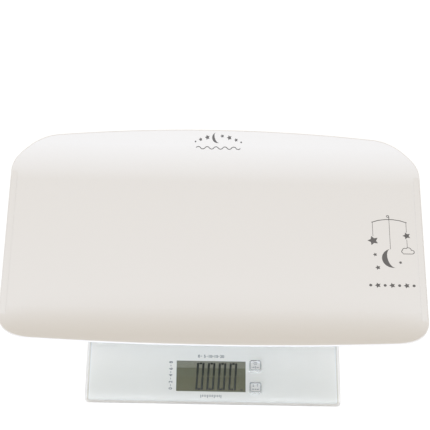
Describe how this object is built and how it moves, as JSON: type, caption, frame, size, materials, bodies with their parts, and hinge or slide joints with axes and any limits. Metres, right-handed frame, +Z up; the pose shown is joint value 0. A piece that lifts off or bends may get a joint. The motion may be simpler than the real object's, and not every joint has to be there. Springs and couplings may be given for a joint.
{
  "type": "digital baby weighing scale",
  "caption": "Shallow trough-shaped infant tray standing on a glass platform scale with a digital display and two push keys.",
  "frame": {"origin": "on the surface it stands on, in the middle of its outline", "axes": "+X to the user's right along the tray, +Y away from the user, +Z up"},
  "size_m": [0.55, 0.391, 0.0695],
  "materials": {
    "tray_white": "satin, lightly glossy",
    "pad_rubber": "matt",
    "silver_glass": "polished, painted silver-grey underneath",
    "base_plastic": "fine spark-eroded texture",
    "cell_wrap": "shrink film",
    "nickel": "plated",
    "board_green": "solder resist",
    "display_grey": "anti-glare film",
    "holder_black": "moulded",
    "zebra_rubber": "matt",
    "resin_black": "moulded",
    "key_silver": "satin",
    "plunger_white": "moulded",
    "clip_nylon": "moulded",
    "cell_steel": "ground",
    "cap_plastic": "moulded",
    "lead_jacket": "smooth vinyl"
  },
  "bodies": {
    "platform": {"glass_platform": "silver_glass", "housing_frame": "base_plastic", "housing_cover": "base_plastic", "battery_front": "cell_wrap", "battery_rear": "cell_wrap", "flat_contacts": "nickel", "leaf_contacts": "nickel", "circuit_board": "board_green", "display_glass": "display_grey", "display_holder": "holder_black", "zebra_strips": "zebra_rubber", "processor": "resin_black", "crystal": "nickel", "unit_switch": "resin_black", "tare_switch": "resin_black", "lead_clips": "clip_nylon", "foot_housing_front_left": "base_plastic", "load_cell_front_left": "cell_steel", "foot_cap_front_left": "cap_plastic", "foot_pad_front_left": "pad_rubber", "lead_front_left": "lead_jacket", "foot_housing_front_right": "base_plastic", "load_cell_front_right": "cell_steel", "foot_cap_front_right": "cap_plastic", "foot_pad_front_right": "pad_rubber", "lead_front_right": "lead_jacket", "foot_housing_rear_left": "base_plastic", "load_cell_rear_left": "cell_steel", "foot_cap_rear_left": "cap_plastic", "foot_pad_rear_left": "pad_rubber", "lead_rear_left": "lead_jacket", "foot_housing_rear_right": "base_plastic", "load_cell_rear_right": "cell_steel", "foot_cap_rear_right": "cap_plastic", "foot_pad_rear_right": "pad_rubber", "lead_rear_right": "lead_jacket"},
    "tray": {"tray": "tray_white", "tray_pads": "pad_rubber"},
    "unit_key": {"unit_key": "key_silver", "unit_plunger": "plunger_white"},
    "tare_key": {"tare_key": "key_silver", "tare_plunger": "plunger_white"},
    "battery_door": {"battery_door": "base_plastic"}
  },
  "joints": [
    {"name": "tray_lift", "type": "slide", "parent": "platform", "child": "tray", "axis": [0, 0, 1], "range_m": [0, 0.12]},
    {"name": "unit_key_press", "type": "slide", "parent": "platform", "child": "unit_key", "axis": [0, 0, -1], "range_m": [0, 0.0008], "stiffness_N_per_m": 1500, "springref_m": -0.0003},
    {"name": "tare_key_press", "type": "slide", "parent": "platform", "child": "tare_key", "axis": [0, 0, -1], "range_m": [0, 0.0008], "stiffness_N_per_m": 1500, "springref_m": -0.0003},
    {"name": "battery_door_slide", "type": "slide", "parent": "platform", "child": "battery_door", "axis": [0, 1, 0], "range_m": [0, 0.034]}
  ]
}
